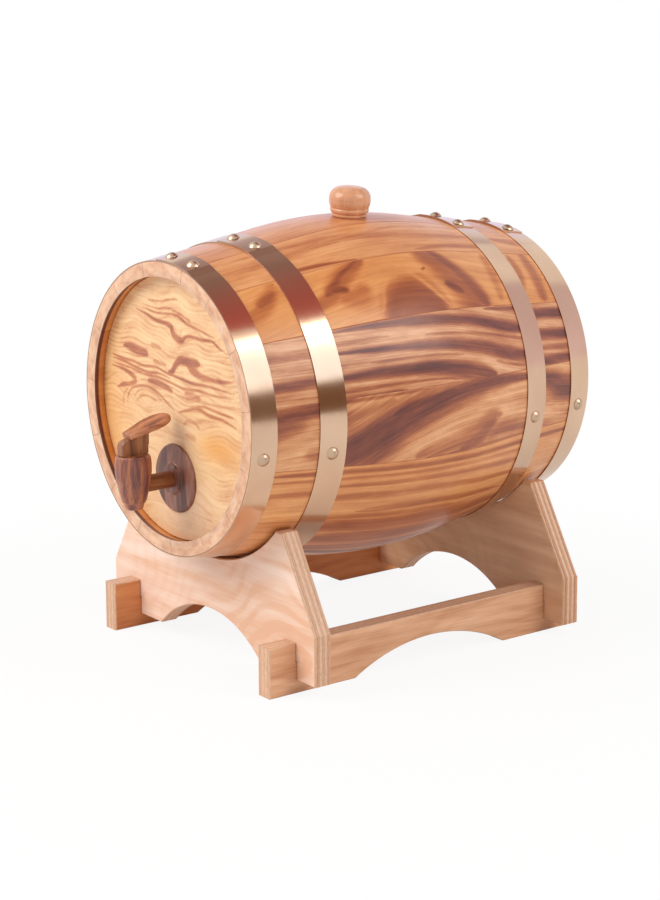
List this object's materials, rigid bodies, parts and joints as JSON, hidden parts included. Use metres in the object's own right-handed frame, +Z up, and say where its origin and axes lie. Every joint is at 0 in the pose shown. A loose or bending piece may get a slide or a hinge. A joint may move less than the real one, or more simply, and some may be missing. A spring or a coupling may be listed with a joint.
{
  "type": "wooden cask drink dispenser",
  "caption": "Small wooden cask lying in a plywood cradle, with brass hoops, a bung on top and a turned wooden tap with a lever in its front head.",
  "frame": {"origin": "on the floor, under the middle of the whole object", "axes": "+Z up, -Y the front where the tap is, +X to the right of someone who looks along +Y"},
  "size_m": [0.2186, 0.2996, 0.2873],
  "materials": {
    "cask_wood": "boldly figured wood, glossy varnish",
    "head_wood": "pale figured wood, satin varnish",
    "hoop_brass": "satin brass strip",
    "rivet_brass": "bright domed heads",
    "bung_wood": "turned and varnished",
    "tap_wood": "dark turned wood, oiled",
    "stand_plywood": "sanded plywood with striped edges, clear satin"
  },
  "bodies": {
    "stand": {"cradle_panel_front": "stand_plywood", "cradle_panel_rear": "stand_plywood", "rail_left": "stand_plywood", "rail_right": "stand_plywood"},
    "cask": {"bung_stave": "cask_wood", "stave_02": "cask_wood", "stave_03": "cask_wood", "stave_04": "cask_wood", "stave_05": "cask_wood", "stave_06": "cask_wood", "stave_07": "cask_wood", "stave_08": "cask_wood", "stave_09": "cask_wood", "stave_10": "cask_wood", "stave_11": "cask_wood", "stave_12": "cask_wood", "stave_13": "cask_wood", "stave_14": "cask_wood", "stave_15": "cask_wood", "head_front": "head_wood", "head_rear": "head_wood", "chime_hoop_front": "hoop_brass", "bilge_hoop_front": "hoop_brass", "bilge_hoop_rear": "hoop_brass", "chime_hoop_rear": "hoop_brass", "hoop_rivets": "rivet_brass", "hoop_nails": "rivet_brass", "tap_body": "tap_wood", "tap_shank": "tap_wood", "tap_rosette": "tap_wood"},
    "bung": {"bung": "bung_wood"},
    "tap_key": {"tap_plug": "tap_wood", "tap_lever": "tap_wood"}
  },
  "joints": [
    {"name": "cask_lift", "type": "slide", "parent": "stand", "child": "cask", "axis": [0, 0, 1], "range_m": [0, 0.05]},
    {"name": "bung_lift", "type": "slide", "parent": "cask", "child": "bung", "axis": [0.0698, 0, 0.9976], "range_m": [0, 0.04]},
    {"name": "tap_key_turn", "type": "hinge", "parent": "cask", "child": "tap_key", "pos_m": [0, -0.1387, 0.11749], "axis": [0, 0, -1], "continuous": true}
  ]
}
